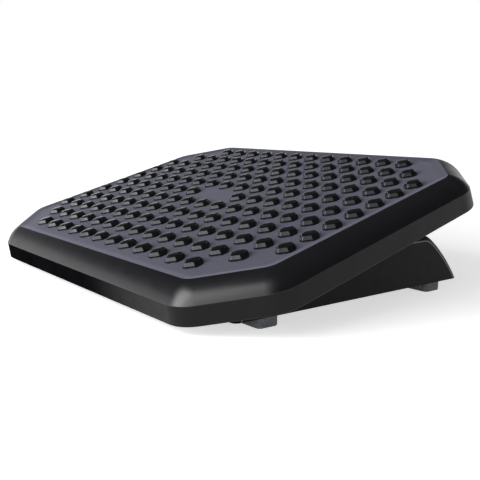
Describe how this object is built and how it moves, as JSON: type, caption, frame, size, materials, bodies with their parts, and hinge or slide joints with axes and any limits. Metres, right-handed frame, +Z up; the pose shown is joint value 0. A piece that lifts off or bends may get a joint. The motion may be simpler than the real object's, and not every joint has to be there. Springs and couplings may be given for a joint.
{
  "type": "tilting footrest",
  "caption": "Under desk footrest: an eight-sided moulded platform covered in massage bumps tilts on a cross axle in a low base on rubber feet.",
  "frame": {"origin": "on the floor, under the middle of the footrest's bounding box as it stands with the rear edge raised", "axes": "+X along the width to the user's right, +Y away from the user along the depth, +Z up"},
  "size_m": [0.4512, 0.3236, 0.119],
  "materials": {
    "platform_plastic": "moulded black plastic with a soft sheen, glossier on the bumps",
    "base_plastic": "moulded black plastic with a soft sheen",
    "foot_rubber": "dull dark grey rubber",
    "bumper_rubber": "dull black rubber",
    "steel": "zinc plated steel",
    "nylon": "natural nylon",
    "friction_fibre": "pressed brown fibre"
  },
  "bodies": {
    "base": {"base_frame": "base_plastic", "left_bush": "nylon", "right_bush": "nylon", "left_bearing_cap": "base_plastic", "right_bearing_cap": "base_plastic", "left_cap_screw_1": "steel", "left_cap_screw_2": "steel", "right_cap_screw_1": "steel", "right_cap_screw_2": "steel", "left_disc_spring": "steel", "right_disc_spring": "steel", "front_left_foot": "foot_rubber", "front_right_foot": "foot_rubber", "rear_left_foot": "foot_rubber", "rear_right_foot": "foot_rubber", "front_left_stop_bumper": "bumper_rubber", "front_right_stop_bumper": "bumper_rubber", "rear_left_stop_bumper": "bumper_rubber", "rear_right_stop_bumper": "bumper_rubber"},
    "platform": {"platform": "platform_plastic", "axle": "steel", "left_pivot_bracket": "base_plastic", "right_pivot_bracket": "base_plastic", "left_bracket_screw_1": "steel", "left_bracket_screw_2": "steel", "left_bracket_screw_3": "steel", "left_bracket_screw_4": "steel", "right_bracket_screw_1": "steel", "right_bracket_screw_2": "steel", "right_bracket_screw_3": "steel", "right_bracket_screw_4": "steel", "left_retaining_ring": "steel", "right_retaining_ring": "steel", "left_friction_washer": "friction_fibre", "right_friction_washer": "friction_fibre"}
  },
  "joints": [
    {"name": "platform_tilt", "type": "hinge", "parent": "base", "child": "platform", "pos_m": [0, 0.00614, 0.0335], "axis": [1, 0, 0], "range_deg": [-31.2, 0]}
  ]
}
